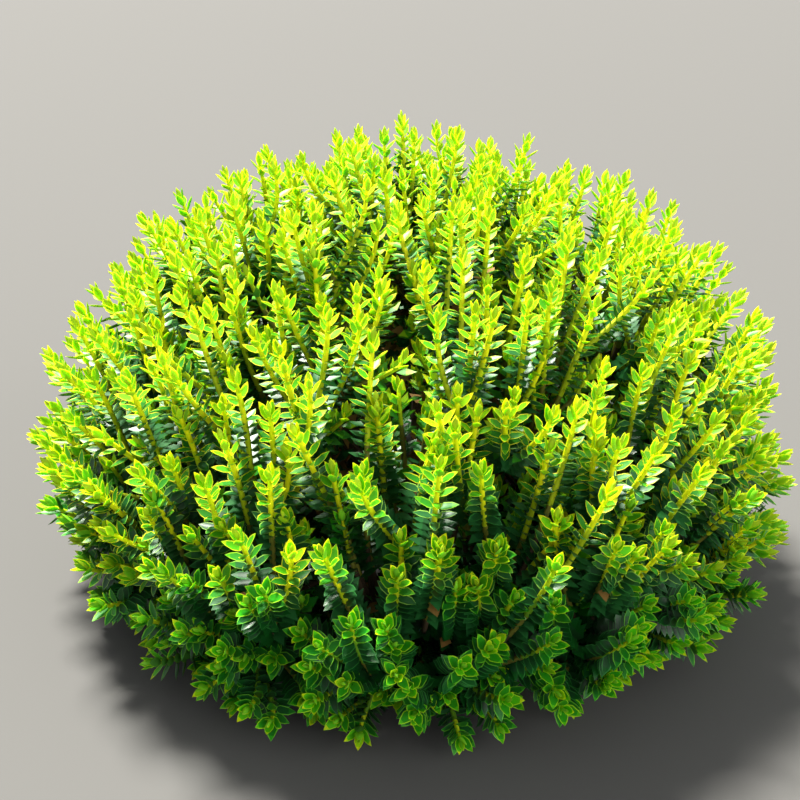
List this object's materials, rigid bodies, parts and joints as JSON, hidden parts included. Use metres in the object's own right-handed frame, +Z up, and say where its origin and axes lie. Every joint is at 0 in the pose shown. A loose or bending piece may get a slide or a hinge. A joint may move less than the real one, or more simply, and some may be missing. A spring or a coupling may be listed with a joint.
{
  "type": "hebe shrub",
  "caption": "Low rounded hebe shrub: a short rooted stem forks into boughs that carry dense upright shoots of small thick leaves in crosswise pairs",
  "frame": {"origin": "on the flat cut under the root crown, at ground level", "axes": "+Z up out of the ground, +X to the right and +Y away from the viewer of the picture"},
  "size_m": [0.5393, 0.5413, 0.335],
  "materials": {
    "bark": "grey-brown ridged bark, matt",
    "foliage": "thick evergreen leaves, glossy, dark green below and bright yellow-green at the shoot tips"
  },
  "bodies": {
    "root": {"root_crown": "bark", "bough_low_1": "bark", "bough_low_2": "bark", "bough_low_3": "bark", "bough_low_4": "bark", "bough_low_5": "bark", "bough_low_6": "bark", "bough_low_7": "bark", "bough_low_8": "bark", "bough_low_9": "bark", "bough_mid_1": "bark", "bough_mid_2": "bark", "bough_mid_3": "bark", "bough_mid_4": "bark", "bough_mid_5": "bark", "bough_mid_6": "bark", "bough_top": "bark", "foliage_low_1": "foliage", "foliage_low_2": "foliage", "foliage_low_3": "foliage", "foliage_low_4": "foliage", "foliage_low_5": "foliage", "foliage_low_6": "foliage", "foliage_low_7": "foliage", "foliage_low_8": "foliage", "foliage_low_9": "foliage", "foliage_mid_1": "foliage", "foliage_mid_2": "foliage", "foliage_mid_3": "foliage", "foliage_mid_4": "foliage", "foliage_mid_5": "foliage", "foliage_mid_6": "foliage", "foliage_top": "foliage"}
  },
  "joints": []
}
